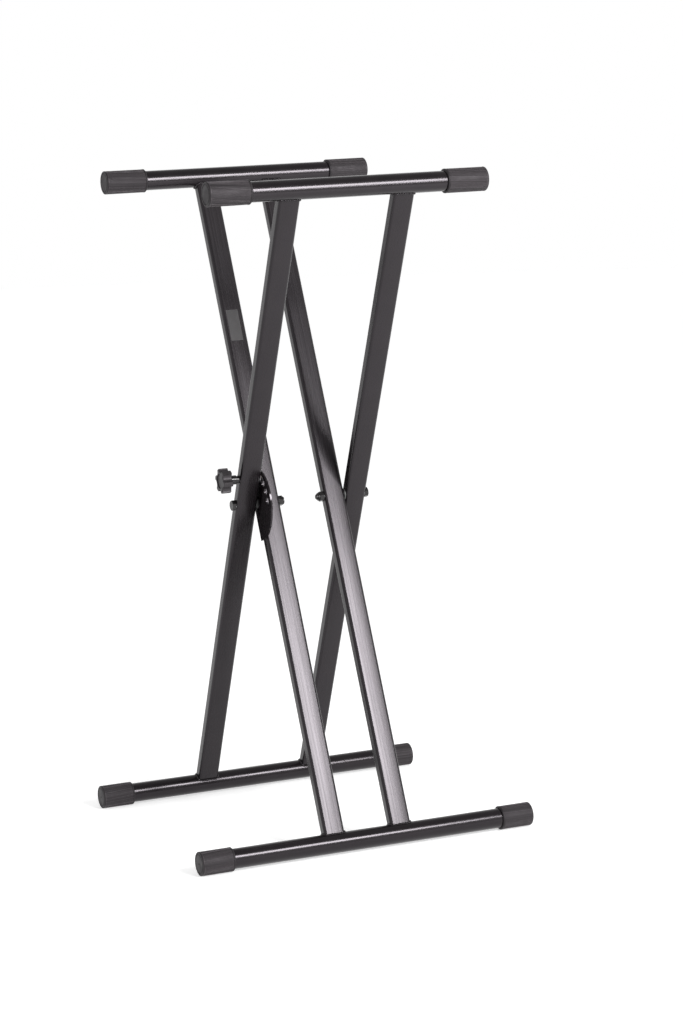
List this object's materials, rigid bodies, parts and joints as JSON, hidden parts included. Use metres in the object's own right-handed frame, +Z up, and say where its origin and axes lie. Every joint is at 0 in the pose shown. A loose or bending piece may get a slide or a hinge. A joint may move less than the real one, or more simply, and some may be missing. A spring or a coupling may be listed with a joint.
{
  "type": "folding keyboard stand",
  "caption": "Folding cross-legged keyboard stand: two welded tube frames that turn on one pivot line, a holed plate with a screw lock for the height, and rubber sleeves on the arms and feet.",
  "frame": {"origin": "on the floor, midway between the four feet, under the pivot line", "axes": "X is the direction in which the feet spread, towards the near foot; Y runs along the tubes and the pivot line, with the lock knob on the -Y side; Z is up"},
  "size_m": [0.4334, 0.505, 0.9383],
  "materials": {
    "black_powder_coat": "semi-gloss black powder coat",
    "rubber_sleeve": "matte black rubber with fine ribs",
    "knob_plastic": "moulded, satin",
    "black_zinc": "black zinc",
    "yellow_zinc": "yellow zinc on steel",
    "plain_steel": "bare machined steel",
    "nylon": "dark nylon"
  },
  "bodies": {
    "inner_frame": {"inner_arm_tube": "black_powder_coat", "inner_foot_tube": "black_powder_coat", "inner_front_leg": "black_powder_coat", "inner_rear_leg": "black_powder_coat", "inner_arm_welds": "black_powder_coat", "inner_foot_welds": "black_powder_coat", "inner_arm_sleeve_front": "rubber_sleeve", "inner_arm_sleeve_rear": "rubber_sleeve", "inner_foot_sleeve_front": "rubber_sleeve", "inner_foot_sleeve_rear": "rubber_sleeve", "inner_pivot_bush_front": "plain_steel", "inner_pivot_bush_rear": "plain_steel", "pivot_bolt_front": "black_zinc", "pivot_bolt_rear": "black_zinc", "pivot_nut_front": "black_zinc", "pivot_nut_rear": "black_zinc", "pivot_nut_ring_front": "nylon", "pivot_nut_ring_rear": "nylon", "pivot_washer_front": "nylon", "pivot_washer_rear": "nylon", "height_plate": "black_powder_coat", "height_plate_welds": "black_powder_coat"},
    "outer_frame": {"outer_arm_tube": "black_powder_coat", "outer_foot_tube": "black_powder_coat", "outer_front_leg": "black_powder_coat", "outer_rear_leg": "black_powder_coat", "outer_arm_welds": "black_powder_coat", "outer_foot_welds": "black_powder_coat", "outer_arm_sleeve_front": "rubber_sleeve", "outer_arm_sleeve_rear": "rubber_sleeve", "outer_foot_sleeve_front": "rubber_sleeve", "outer_foot_sleeve_rear": "rubber_sleeve", "outer_pivot_bush_front": "plain_steel", "outer_pivot_bush_rear": "plain_steel", "lock_guide": "black_powder_coat", "lock_insert": "plain_steel"},
    "lock_collar": {"lock_collar": "black_zinc"},
    "lock_knob": {"lock_knob": "knob_plastic", "lock_bolt": "yellow_zinc"}
  },
  "joints": [
    {"name": "fold", "type": "hinge", "parent": "inner_frame", "child": "outer_frame", "pos_m": [0, 0, 0.46915], "axis": [0, 1, 0], "range_deg": [-43.7, 54]},
    {"name": "lock_travel", "type": "slide", "parent": "outer_frame", "child": "lock_collar", "axis": [0, 1, 0], "range_m": [0, 0.00406]},
    {"name": "knob_turn", "type": "hinge", "parent": "lock_collar", "child": "lock_knob", "pos_m": [0.01739, -0.1152, 0.50848], "axis": [0, 1, 0], "range_deg": [0, 1170.1]}
  ],
  "couplings": [
    {"joint": "knob_turn", "follows": "lock_travel", "rad_per_m": 5026.5}
  ]
}
